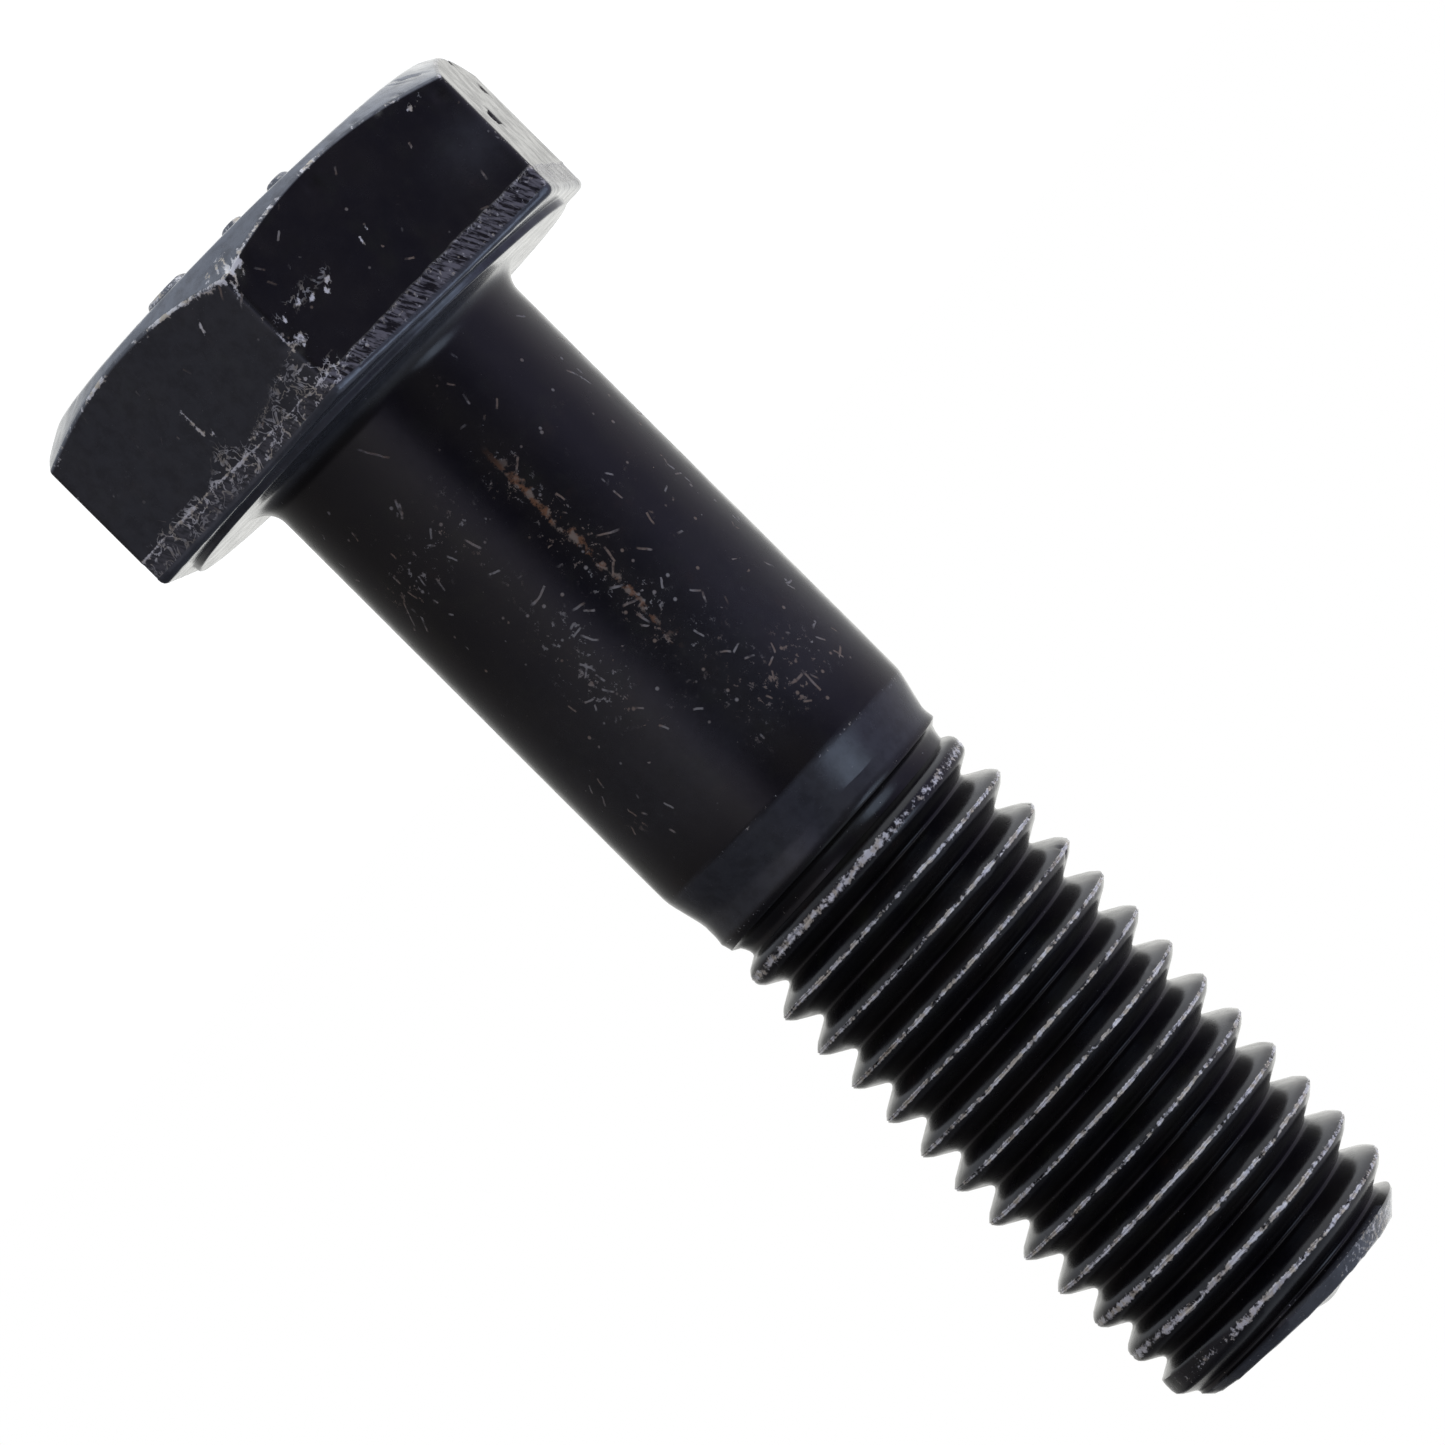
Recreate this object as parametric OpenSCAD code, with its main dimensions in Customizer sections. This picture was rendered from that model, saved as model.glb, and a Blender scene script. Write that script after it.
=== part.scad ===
// Hex bolt, heavy hex head, plain shank and coarse right-hand thread, forged in one piece.
// The bolt stands on its head: axis on Z, z = 0 on the bearing face under the head, tip at +Z.
// Every size is in millimetres.

/* [Length] */
// Length from the bearing face to the tip
length = 61.8; // [50:0.05:120]
// Length of the thread, from its shoulder to the tip
thread_len = 32.25; // [20:0.05:40]
// Length of the taper that leads from the plain shank down to the shoulder
taper_len = 2.7; // [1.5:0.1:6]

/* [Shank] */
// Diameter of the plain shank
shank_d = 15.7; // [13:0.05:19]
// Radius of the fillet between the shank and the bearing face
fillet_r = 1.2; // [0.5:0.05:1.6]

/* [Head] */
// Width across the flats
across_flats = 26.2; // [24:0.1:36]
// Height of the head, from its top to the bearing face
head_h = 9.6; // [7:0.05:14]
// How much smaller the flat top is than the width across the flats
top_under = 1.6; // [0.8:0.1:5]
// Angle of the top chamfer, measured from the flat top
chamfer_angle = 30; // [20:1:40]
// Height of the rounding where the corners meet the underside
corner_ease = 0.4; // [0.2:0.05:1.2]

/* [Washer face] */
// How much smaller the round washer face is than the width across the flats
washer_under = 1.4; // [0.6:0.1:3]
// Height of the washer face below the hexagon
washer_h = 0.4; // [0.2:0.05:1]

/* [Thread] */
// Distance from one thread to the next
pitch = 2.309; // [1.8:0.001:3]
// How much smaller the thread is than the shank, on the diameter
thread_under = 0.08; // [0:0.01:0.4]
// Turn of the thread about the axis, in degrees
thread_turn = 295; // [0:1:360]
// Width of the rounding at the root, on each side of its middle
root_round = 0.21; // [0.1:0.01:0.3]
// Turns over which the groove reaches its full depth
runout_turns = 1; // [0.5:0.1:2]
// Turns over which the crest reaches its full height
crest_turns = 1.9; // [1:0.1:3]

/* [Point] */
// How much smaller the flat end of the tip is than the thread's root, on the diameter
point_under = 0.78; // [0.4:0.01:3]
// Angle of the point, measured from the axis
point_angle = 45; // [30:1:60]
// How much lower the last crests are, on the radius
point_drop = 0.14; // [0:0.01:0.3]
// Length of thread with lower crests
point_len = 5.5; // [3:0.1:10]

/* [Raised bars on the head] */
// Height of the plain raised bars
bar_h = 0.3; // [0.2:0.05:0.8]
// Length of the bars
bar_len = 6.4; // [3:0.1:8]
// Width of the two narrow bars
bar_w = 1.3; // [0.8:0.1:1.8]
// Width of the wide bar
wide_bar_w = 2.5; // [1.5:0.1:3]
// Place of the first bar across the head
bar_1 = -3.3; // [-4.5:0.1:-2.5]
// Place of the second bar across the head
bar_2 = -0.35; // [-1:0.05:0.5]
// Place of the wide bar across the head
bar_3 = 3.9; // [2.8:0.1:4.5]
// Distance from the bolt's axis to the middle of the row
bar_out = 8; // [0:0.1:8.4]
// Direction of the row of bars, in degrees
bar_turn = 23.6; // [0:0.1:60]

/* [Hidden] */
// Steps around one turn of the thread, and steps for round surfaces
seg = 48;
round_fn = 96;
// Thread form: 60 degree flanks, depth and pitch radius from the pitch
flank = tan(30);
shank_r = shank_d / 2;
crest_r = shank_r - thread_under / 2;
depth = 0.6134 * pitch;
root_r = crest_r - depth;
pitch_r = crest_r - 0.2685 * pitch;
round_h = root_round * 0.8;
// The blank that the thread was rolled on
blank_r = crest_r - 0.36 * depth;
start_r = blank_r - 0.05;
// Heights along the axis
shoulder_z = length - thread_len;
taper_z = shoulder_z - taper_len;
helix_z = shoulder_z - 1.5 * pitch;
steps = ceil((thread_len + 1.6 * pitch) / pitch * seg);
cap_z = helix_z + (steps / seg + 1.3) * pitch;
base_z = helix_z - 0.4 * pitch;
point_flare = tan(point_angle);
point_d = 2 * root_r - point_under;
// Sizes across the head
corner_r = across_flats / sqrt(3);
top_d = across_flats - top_under;
washer_d = across_flats - washer_under;
// Reach of a solid into the one that it joins
over = 1;

// 0 at and below a, 1 at and above b, smooth between
function ease(a, b, z) =
    let (t = min(1, max(0, (z - a) / (b - a))))
    t * t * (3 - 2 * t);

// Root and crest radius at a height along the axis
function root_at(z) =
    start_r + (root_r - start_r) * ease(shoulder_z - 0.15 * pitch,
        shoulder_z + (runout_turns - 0.15) * pitch, z);
function crest_at(z) =
    start_r + (crest_r - start_r) * ease(shoulder_z, shoulder_z + crest_turns * pitch, z)
        - point_drop * ease(length - point_len - 2 * pitch, length - point_len, z);

// Half the width of the ridge at radius r
function ridge(r) = pitch / 4 + (pitch_r - r) * flank;
// Radius of the ends of the rounded root, and half the width of the ridge there
function root_edge_at(z) =
    min(root_at(z) + round_h * ease(root_r, start_r, start_r + root_r - root_at(z)), crest_at(z));
function root_edge_w(z) = max(ridge(root_edge_at(z)), ridge(crest_at(z)) + 0.06);

// Point k of the thread form at step i: root, root edge, crest edge, crest edge, root edge
function form_r(k, z) = k == 0 ? root_at(z) : (k == 1 || k == 4) ? root_edge_at(z) : crest_at(z);
function form_z(k, z) =
    k == 0 ? 0
    : k == 1 ? pitch / 2 - root_edge_w(z)
    : k == 2 ? pitch / 2 - ridge(crest_at(z))
    : k == 3 ? pitch / 2 + ridge(crest_at(z))
    : pitch / 2 + root_edge_w(z);
function at(i, r, z) = [r * cos(360 * i / seg), r * sin(360 * i / seg), z];
function form_point(i, k) =
    let (z0 = helix_z + pitch * i / seg)
    let (zm = z0 + [0, 0.1, 0.4, 0.6, 0.9][k] * pitch)
    at(i, form_r(k, zm), z0 + form_z(k, zm));

// Polygon p as triangles that share its first corner
function fan(p) = [for (n = [1 : len(p) - 2]) [p[0], p[n], p[n + 1]]];

// Index of point k at step i: the fifth point's neighbour is the root one turn up
function at_index(i, k) = k == 5 ? at_index(i + seg, 0)
    : i < steps + 1 ? 5 * i + k
    : 5 * (steps + 1) + i - steps - 1;

// Round rod with the thread on it, closed by a flat ring at each end
module threaded_rod() {
    rows = [for (i = [0 : steps], k = [0 : 4]) form_point(i, k)];
    last = [for (i = [steps + 1 : steps + seg]) form_point(i, 0)];
    low = [for (j = [0 : seg - 1]) at(j, start_r, base_z)];
    high = [for (j = [0 : seg - 1]) at(steps + j, root_r, cap_z)];
    n_low = len(rows) + len(last);
    n_high = n_low + seg;
    function r_index(j) = n_low + j % seg;
    function t_index(j) = n_high + j % seg;
    sides = [for (i = [0 : steps - 1], k = [0 : 4])
        for (f = fan([at_index(i, k), at_index(i, k + 1),
            at_index(i + 1, k + 1), at_index(i + 1, k)])) f];
    foot = [for (j = [0 : seg - 2])
        for (f = fan([r_index(j), at_index(j, 0), at_index(j + 1, 0), r_index(j + 1)])) f];
    foot_end = fan([at_index(seg - 1, 0), at_index(seg, 0), at_index(0, 4), at_index(0, 3),
        at_index(0, 2), at_index(0, 1), at_index(0, 0), r_index(0), r_index(seg - 1)]);
    crown_start = fan([at_index(steps + 1, 0), at_index(steps, 0), at_index(steps, 1),
        at_index(steps, 2), at_index(steps, 3), at_index(steps, 4),
        at_index(steps + seg, 0), t_index(0), t_index(1)]);
    crown = [for (j = [1 : seg - 1])
        for (f = fan([at_index(steps + j, 0), t_index(j), t_index(j + 1),
            at_index(steps + j + 1, 0)])) f];
    bottom_cap = fan([for (j = [0 : seg - 1]) r_index(j)]);
    top_cap = fan([for (j = [0 : seg - 1]) t_index(seg - 1 - j)]);
    polyhedron(points = concat(rows, last, low, high),
        faces = concat(sides, foot, foot_end, crown_start, crown, bottom_cap, top_cap));
}

// Thread with its point: the rod inside a cone that narrows to the flat end
module thread() {
    intersection() {
        rotate([0, 0, thread_turn]) threaded_rod();
        rotate_extrude($fn = round_fn)
            polygon([
                [0, base_z - over],
                [shank_r + over, base_z - over],
                [shank_r + over, length - (shank_r + over - point_d / 2) / point_flare],
                [point_d / 2, length],
                [0, length]
            ]);
    }
}

// Plain shank, its fillet under the head, and the taper down to the thread's shoulder
module shank() {
    rotate_extrude($fn = round_fn) {
        polygon([
            [0, -washer_h],
            [shank_r, -washer_h],
            [shank_r, taper_z],
            [blank_r, shoulder_z],
            [0, shoulder_z]
        ]);
        difference() {
            translate([shank_r - 0.1, -0.1]) square([fillet_r + 0.1, fillet_r + 0.1]);
            translate([shank_r + fillet_r, fillet_r]) circle(r = fillet_r, $fn = round_fn);
        }
    }
}

// Hexagon with a chamfered top and eased lower corners
module hexagon() {
    intersection() {
        translate([0, 0, -head_h])
            cylinder(r = corner_r, h = head_h - washer_h, $fn = 6);
        rotate_extrude($fn = round_fn)
            polygon([
                [0, -head_h],
                [top_d / 2, -head_h],
                [corner_r + over, -head_h + (corner_r + over - top_d / 2) * tan(chamfer_angle)],
                [corner_r + over, -washer_h - corner_ease - over],
                [corner_r - corner_ease * 0.7, -washer_h],
                [0, -washer_h]
            ]);
    }
}

// Round washer face, on which the bolt bears
module washer_face() {
    translate([0, 0, -washer_h - over])
        cylinder(d = washer_d, h = washer_h + over, $fn = round_fn);
}

// One plain raised bar with round ends, across the row
module bar(place, width) {
    translate([place, -bar_out, -head_h - bar_h])
        linear_extrude(height = bar_h + over) {
            square([width, bar_len - width], center = true);
            translate([0, bar_len / 2 - width / 2]) circle(d = width, $fn = 32);
            translate([0, width / 2 - bar_len / 2]) circle(d = width, $fn = 32);
        }
}

module raised_bars() {
    rotate([0, 0, bar_turn]) {
        bar(bar_1, bar_w);
        bar(bar_2, bar_w);
        bar(bar_3, wide_bar_w);
    }
}

module bolt() {
    color([0.11, 0.11, 0.13])
    union() {
        hexagon();
        washer_face();
        raised_bars();
        shank();
        thread();
    }
}

bolt();
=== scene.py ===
import math

import bpy
import numpy as np
from mathutils import Matrix, Vector
from mathutils.geometry import delaunay_2d_cdt


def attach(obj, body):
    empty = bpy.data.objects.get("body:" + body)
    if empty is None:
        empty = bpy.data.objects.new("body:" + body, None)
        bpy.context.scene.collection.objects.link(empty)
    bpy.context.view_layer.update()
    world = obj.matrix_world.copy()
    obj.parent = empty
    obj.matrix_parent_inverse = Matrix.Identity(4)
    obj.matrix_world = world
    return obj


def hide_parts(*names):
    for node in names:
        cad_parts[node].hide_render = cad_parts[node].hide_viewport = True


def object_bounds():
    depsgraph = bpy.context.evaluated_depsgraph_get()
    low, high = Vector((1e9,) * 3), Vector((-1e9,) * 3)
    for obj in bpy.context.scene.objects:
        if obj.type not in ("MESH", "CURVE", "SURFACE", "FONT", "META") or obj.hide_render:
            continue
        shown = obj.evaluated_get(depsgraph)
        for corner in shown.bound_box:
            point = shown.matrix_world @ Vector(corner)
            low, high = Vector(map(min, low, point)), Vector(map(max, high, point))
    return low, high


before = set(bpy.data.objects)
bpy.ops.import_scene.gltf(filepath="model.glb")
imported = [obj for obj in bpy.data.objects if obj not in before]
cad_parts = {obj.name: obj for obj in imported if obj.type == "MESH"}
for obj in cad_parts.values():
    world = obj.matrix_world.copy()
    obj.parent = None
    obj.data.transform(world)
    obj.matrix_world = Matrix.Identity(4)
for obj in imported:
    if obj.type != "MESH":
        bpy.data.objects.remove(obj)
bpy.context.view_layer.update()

# Sizes in millimetres, as in the CAD model: axis on Z, z = 0 on the bearing face, tip at +Z.
MM = 0.001
TIP = 61.8
HEAD_H = 9.6
FLATS = 26.2
HALF = FLATS / 2
TOP_R = 12.3
TOP_Z = -HEAD_H
WASHER_R = 12.4
WASHER_H = 0.4
SHANK_R = 7.85
FILLET = 1.2
TAPER_Z = 26.85
TAPER_SLOPE = 0.245
BLANK_R = 7.33
POINT_R = 6.0
TAN_30 = math.tan(math.radians(30))

# Thread form: 60 degree flanks, depth and pitch radius from the pitch
PITCH = 2.309
CREST_R = 7.81
DEPTH = 0.6134 * PITCH
ROOT_R = CREST_R - DEPTH
PITCH_R = CREST_R - 0.2685 * PITCH
START_R = BLANK_R - 0.05

# Plain raised bars on the head's top: place across the row and width of each
BARS = ((-3.3, 1.3), (-0.35, 1.3), (3.9, 2.5))
BAR_H = 0.3
BAR_LEN = 6.4
BAR_OUT = 8.0

# Columns round the head, and round the shank and the thread
FINE = 540
COARSE = 180

# The camera looks at the bolt from this azimuth. SIDE points to the lower left of its picture.
AZ = math.radians(23.6)
CAM = np.array([math.sin(AZ), -math.cos(AZ), 0.0])
SIDE = np.array([math.cos(AZ), math.sin(AZ), 0.0])


# ---------------------------------------------------------------- small helpers
def ease(a, b, x):
    """0 where x is at a, 1 where it is at b, smooth between."""
    t = np.clip((x - a) / (b - a), 0.0, 1.0)
    return t * t * (3 - 2 * t)


def bump(x, centre, half):
    """1 where x is at the centre, falling to about a third at a distance of half."""
    return np.exp(-(((x - centre) / half) ** 2))


def hashed(ix, iy, iz, seed):
    """A random value from -1 to 1 for each lattice point."""
    h = (ix * 374761393 + iy * 668265263 + iz * 1440662683 + seed * 974711 + 12345) & 0xFFFFFFFF
    h = ((h ^ (h >> 15)) * 2246822519) & 0xFFFFFFFF
    h = ((h ^ (h >> 13)) * 3266489917) & 0xFFFFFFFF
    return ((h ^ (h >> 16)) & 0xFFFFFF) / float(0xFFFFFF) * 2 - 1


def noise(p, size, seed, octaves=1):
    """Smooth noise from -1 to 1 at points p; size is the spacing of its lattice, one value or three."""
    out, gain, total = 0.0, 1.0, 0.0
    size = np.broadcast_to(np.asarray(size, float), (3,)).copy()
    for n in range(octaves):
        q = p / size + 17.31 * (n + 1)
        i = np.floor(q).astype(np.int64)
        f = q - i
        f = f * f * (3 - 2 * f)
        v = 0.0
        for c in range(8):
            o = np.array([c & 1, (c >> 1) & 1, c >> 2])
            w = np.prod(np.where(o, f, 1 - f), axis=-1)
            j = i + o
            v = v + w * hashed(j[..., 0], j[..., 1], j[..., 2], seed + 101 * n)
        out, total = out + gain * v, total + gain
        gain, size = gain * 0.5, size * 0.5
    return out / total


def curve(p0, pc, p1, n):
    """n points of a round corner from p0 to p1, where pc is the sharp corner; each is (r, z)."""
    out = []
    for t in np.linspace(0, 1, n):
        a, b, c = (1 - t) ** 2, 2 * t * (1 - t), t * t
        out.append((a * p0[0] + b * pc[0] + c * p1[0], a * p0[1] + b * pc[1] + c * p1[1]))
    return out


class Shell:
    """Vertices, faces and the surface masks of one closed mesh."""

    def __init__(self):
        self.parts, self.faces, self.count = [], [], 0
        self.masks = {name: [] for name in ("wear", "bare", "rust", "pit", "torn", "band", "marks", "arc")}

    def add(self, points, **masks):
        """Adds points, with a value or an array for each mask that isn't 0, and returns their numbers."""
        points = np.asarray(points, float).reshape(-1, 3)
        first = self.count
        self.parts.append(points)
        self.count += len(points)
        for name, values in self.masks.items():
            value = np.asarray(masks.get(name, 0.0), float).ravel()
            values.append(np.broadcast_to(value, (len(points),)))
        return first + np.arange(len(points))

    def quads(self, a, b, c, d):
        self.faces.extend(np.stack([a, b, c, d], -1).reshape(-1, 4).tolist())


shell = Shell()

# ---------------------------------------------------------------- head: outline of the hexagon
CORNER_ROUND = 0.34
deg = np.arange(FINE) * 360.0 / FINE
turn = np.radians(deg)
from_middle = np.radians((deg % 60) - 30)
along = HALF * np.tan(from_middle)  # place along the flat, from its middle
to_corner = HALF * TAN_30 - np.abs(along)
flat_no = (deg // 60).astype(int)  # 0: normal at 30 degrees, and so on

# distance from the axis to the hexagon, with rounded corners
round_at = (HALF - CORNER_ROUND) / math.cos(math.radians(30))
round_from = math.atan((HALF - CORNER_ROUND) * TAN_30 / HALF)
delta = math.radians(30) - np.abs(from_middle)
rounded = round_at * np.cos(delta) + np.sqrt(
    np.maximum(CORNER_ROUND**2 - (round_at * np.sin(delta)) ** 2, 0))
hexagon = np.where(np.abs(from_middle) > round_from, rounded, HALF / np.cos(from_middle))

# ---------------------------------------------------------------- head: rows from the top to the bearing face
TOP_EASE = 0.2
EDGE_EASE = 0.16
EDGE_DROP = 0.17
BAND_TOP = -1.95
BAND_FOOT = -0.72
CAMERA_CORNER = 300  # degrees, the corner nearest the camera
rows = []


def row(kind, r, z):
    rows.append((kind, r * np.ones(FINE), z * np.ones(FINE)))


def round_row(kinds, p0, pc, p1):
    for kind, (r, z) in zip(kinds, curve(p0, pc, p1, len(kinds))):
        row(kind, r, z)


round_row(["top_edge"] * 4,
          (TOP_R - 0.22, TOP_Z), (TOP_R, TOP_Z), (TOP_R + TOP_EASE, TOP_Z + TOP_EASE * TAN_30))
for t in (0.22, 0.45, 0.7):
    r = TOP_R + TOP_EASE + t * (hexagon - EDGE_EASE - TOP_R - TOP_EASE)
    row("chamfer", r, TOP_Z + (r - TOP_R) * TAN_30)
edge_z = TOP_Z + (hexagon - TOP_R) * TAN_30
round_row(["chamfer", "edge", "edge", "edge", "flat"],
          (hexagon - EDGE_EASE, edge_z - EDGE_EASE * TAN_30), (hexagon, edge_z),
          (hexagon, edge_z + EDGE_DROP))
# the flats, down to the wavy edge of the sheared band, which is narrower at the camera's corner
ragged = noise(np.stack([along, flat_no * 7.7, 0 * along], -1), 0.8, 5, 2)
band_z = BAND_TOP + 0.45 * bump(deg, CAMERA_CORNER, 32) + 0.10 * ragged
for t in np.linspace(0, 1, 22)[1:-1]:
    row("flat", hexagon, (edge_z + EDGE_DROP) * (1 - t) + (band_z - 0.1) * t)
row("flat", hexagon, band_z - 0.1)
row("lip", hexagon, band_z)
for t in np.linspace(0, 1, 9)[1:-1]:
    row("band", hexagon, (band_z + 0.08) * (1 - t) + BAND_FOOT * t)
# the rounded lower edge, larger at the corners and on flat 3
lower = 0.20 + 0.22 * (hexagon - HALF) / (hexagon.max() - HALF)
inward = lower + 0.20 * bump(deg, 215, 30)
round_row(["under_edge"] * 5,
          (hexagon, -WASHER_H - lower - 0.06), (hexagon, -WASHER_H), (hexagon - inward, -WASHER_H))
row("under", WASHER_R + 0.25 + 0.4 * (hexagon - 0.42 - WASHER_R - 0.25), -WASHER_H)
round_row(["washer_root"] * 3,
          (WASHER_R + 0.12, -WASHER_H), (WASHER_R + 0.02, -WASHER_H), (WASHER_R, -WASHER_H + 0.1))
round_row(["washer_edge"] * 4, (WASHER_R - 0.02, -0.14), (WASHER_R - 0.03, 0.0), (WASHER_R - 0.2, 0.0))
row("bearing", 11.4, 0.0)
row("bearing", 10.4, 0.0)

kinds = np.array([kind for kind, r, z in rows])[:, None]
R = np.array([r for kind, r, z in rows])
Z = np.array([z for kind, r, z in rows])
grid = np.stack([R * np.cos(turn), R * np.sin(turn), Z], -1)
U = np.broadcast_to(along, R.shape)
FLAT = np.broadcast_to(flat_no, R.shape)
CORNER = np.broadcast_to(to_corner, R.shape)

# outward normals of the grid, from its neighbours
normals = np.cross(np.roll(grid, -1, 1) - np.roll(grid, 1, 1), np.gradient(grid, axis=0))
normals /= np.maximum(np.linalg.norm(normals, axis=-1, keepdims=True), 1e-9)


def of_kind(*names):
    """True at the points of the rows of these kinds."""
    return np.isin(kinds, names) & np.ones_like(R, bool)


is_side = of_kind("flat", "lip", "band", "edge")
is_band = of_kind("band")
is_lip = of_kind("lip")
is_edge = of_kind("edge")

# ---------------------------------------------------------------- head: relief and masks
# push is how far a point moves out along its normal: slow waviness of the forging, and its finer grain
push = 0.016 * noise(grid, 5.0, 1) + 0.003 * noise(grid, 0.7, 2, 2)
# the shear marks of the trimming band
slanted = np.stack([U + 0.45 * Z, Z * 0.4, FLAT * 5.0], -1)
teeth = noise(slanted, (0.30, 0.5, 1.0), 11) + 0.6 * noise(slanted, (0.7, 0.5, 1.0), 12)
push = push + is_band * (-0.020 + 0.007 * teeth) + is_lip * (0.015 + 0.015 * teeth)
push = push + of_kind("under_edge") * 0.02 * noise(np.stack([U, Z, FLAT * 5.0], -1), (0.5, 3, 1.0), 13)

# the wear mask also carries painted highlights
wear = np.zeros_like(R)
bare = np.zeros_like(R)
pit = np.zeros_like(R)
torn = np.zeros_like(R)
patchy = noise(grid, 1.1, 21, 3)
fine = noise(grid, 0.28, 22, 2)

# flats by number: 4 and 5 meet at the corner nearest the camera, and 3 is seen edge-on at the top
bare += 0.13 * ((FLAT == 4) & is_side) * bump(U, -6.4, 2.0) * bump(Z, -4.6, 1.4)
band = of_kind("band", "lip") * (1.0 - 0.6 * (FLAT == 5))
corner_line = np.exp(-((CORNER / 0.16) ** 2)) * is_side
wear += corner_line * (0.26 + 0.5 * patchy)
wear += is_edge * (0.38 + 0.80 * patchy + 0.10 * (FLAT == 5))
below_edge = np.exp(-(((Z - edge_z) / 0.30) ** 2))
wear += of_kind("flat") * below_edge * (
    0.10 + 0.28 * np.isin(FLAT, [5, 0, 2]) + 0.5 * noise(grid, 0.6, 24, 2))
wear += is_lip * (0.30 + 0.50 * noise(slanted, (0.6, 1, 1), 23, 2) + 0.34 * (FLAT == 5))
torn += is_lip * (0.5 + 0.45 * (FLAT == 5)) + is_band * (FLAT == 5) * 0.45
bare += of_kind("top_edge", "chamfer") * (0.90 + 0.10 * patchy)
bare += is_edge * 0.6
bare += (FLAT == 5) * of_kind("flat", "lip", "band") * 0.18
bare += of_kind("under_edge") * (0.48 + 0.14 * patchy)
bare += of_kind("under", "bearing") * 0.30
bare += of_kind("washer_root", "washer_edge") * 0.42


def spot(flat, u, z, half_u, half_z, seed, rough=0.5):
    """A ragged blob on one flat: 1 inside, 0 outside."""
    q = ((U - u) / half_u) ** 2 + ((Z - z) / half_z) ** 2
    return ((FLAT == flat) & is_side) * (1 - ease(0.5, 1.1, q + rough * noise(grid, 0.35, seed, 2)))


def score(flat, u0, z0, u1, z1, width):
    """A straight scratch across one flat, from (u0, z0) to (u1, z1)."""
    du, dz = u1 - u0, z1 - z0
    length = math.hypot(du, dz)
    s = ((U - u0) * du + (Z - z0) * dz) / length
    d = ((U - u0) * dz - (Z - z0) * du) / length
    ends = ease(-0.1, 0.1, s) * (1 - ease(length - 0.1, length + 0.1, s))
    return ((FLAT == flat) & is_side) * np.exp(-((d / width) ** 2)) * ends


# at the camera's corner: a torn patch on flat 5, a nick on the corner, chips on the chamfer's edge
tear_top = -3.55 + 0.27 * (U + 7.56) + 0.35 * noise(np.stack([U, 0 * U, 0 * U], -1), 1.0, 31, 2)
in_tear = (FLAT == 5) * is_side * (1 - ease(-1.6, 0.2, U)) * ease(-0.1, 0.35, Z - tear_top)
push = push - 0.05 * in_tear * (0.6 + 0.5 * noise(grid, 0.5, 33, 2))
torn += 0.55 * in_tear
tear_rim = (FLAT == 5) * is_side * (1 - ease(-1.2, 0.6, U)) * bump(Z - tear_top, 0.1, 0.22)
wear += tear_rim * (0.35 + 0.5 * fine)
torn += spot(5, 3.0, -1.75, 6.0, 0.42, 35, 1.0)
torn += 0.6 * spot(5, -0.6, -2.35, 1.0, 0.75, 34, 0.9)
torn += 0.9 * (spot(4, 6.9, -1.3, 0.9, 0.7, 38, 0.7) + spot(5, -7.2, -1.6, 0.8, 0.9, 39, 0.7))
near_corner = (flat_no >= 4) * is_side * (np.abs(deg - CAMERA_CORNER) < 20)
push = push - 0.20 * np.exp(-((CORNER / 0.55) ** 2)) * bump(Z, -3.55, 0.5) * near_corner
# painted highlight: a light wedge on the facet of the nick, put in as wear
wear += 0.50 * spot(4, 7.0, -3.5, 0.62, 0.40, 40, 0.9)
chips = bump(deg, CAMERA_CORNER - 1.0, 3.8) * bump(Z - edge_z, 0.0, 0.70)
chips = chips * ease(-0.25, 0.25, noise(grid, 0.5, 36, 2))
push = push - 0.22 * chips
# the chips show bare metal, and a painted glint on them makes them white
wear += 1.8 * chips * (fine > -0.15)
torn += 0.45 * spot(4, 5.4, -5.0, 1.9, 0.36, 37, 0.8)

# scratches: flat, from (u, z), to (u, z), width, depth
SCORES = (
    (5, -0.40, -5.3, -0.42, -3.9, 0.09, 0.03),
    (5, -0.42, -3.9, -0.95, -3.45, 0.09, 0.03),
    (4, 4.06, -4.22, 5.25, -4.62, 0.08, 0.03),
    (4, 5.25, -4.62, 6.26, -4.96, 0.08, 0.03),
    (4, 6.26, -4.96, 6.84, -4.62, 0.08, 0.03),
    (5, -5.0, -7.5, -4.6, -6.9, 0.06, 0.02),
    (4, 3.0, -5.0, 4.0, -4.6, 0.06, 0.02),
    (4, -6.0, -7.9, -5.1, -7.75, 0.09, 0.03),
    (4, 0.6, -5.2, 1.4, -4.8, 0.05, 0.02),
    (0, -3.0, -6.0, 1.5, -4.6, 0.07, 0.03),
    (1, 2.0, -7.3, 4.4, -4.0, 0.07, 0.04),
    (1, -5.2, -4.4, -3.8, -5.9, 0.07, 0.03),
    (2, -2.4, -6.6, -1.0, -3.4, 0.07, 0.04),
)
for *line, depth in SCORES:
    scratch = score(*line)
    push = push - depth * scratch
    wear = wear + 0.95 * scratch

# small pits: flat, middle (u, z), half sizes along u and z, depth
PITS = (
    (3, 2.9, -5.1, 1.1, 0.36, 0.30),
    (3, -2.1, -9.1, 0.8, 0.25, 0.2),
    (3, -4.5, -6.9, 0.7, 0.2, 0.2),
    (4, -6.9, -7.3, 0.45, 0.3, 0.06),
    (4, 1.0, -8.3, 0.4, 0.25, 0.06),
    (0, 3.0, -6.6, 0.4, 0.3, 0.1),
    (1, -1.0, -5.0, 0.5, 0.3, 0.1),
    (2, 4.2, -7.1, 0.4, 0.3, 0.1),
)
for flat, u, z, half_u, half_z, depth in PITS:
    hole = spot(flat, u, z, half_u, half_z, int(50 + 10 * u + flat), 0.4)
    push = push - depth * hole
    pit += hole

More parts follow.
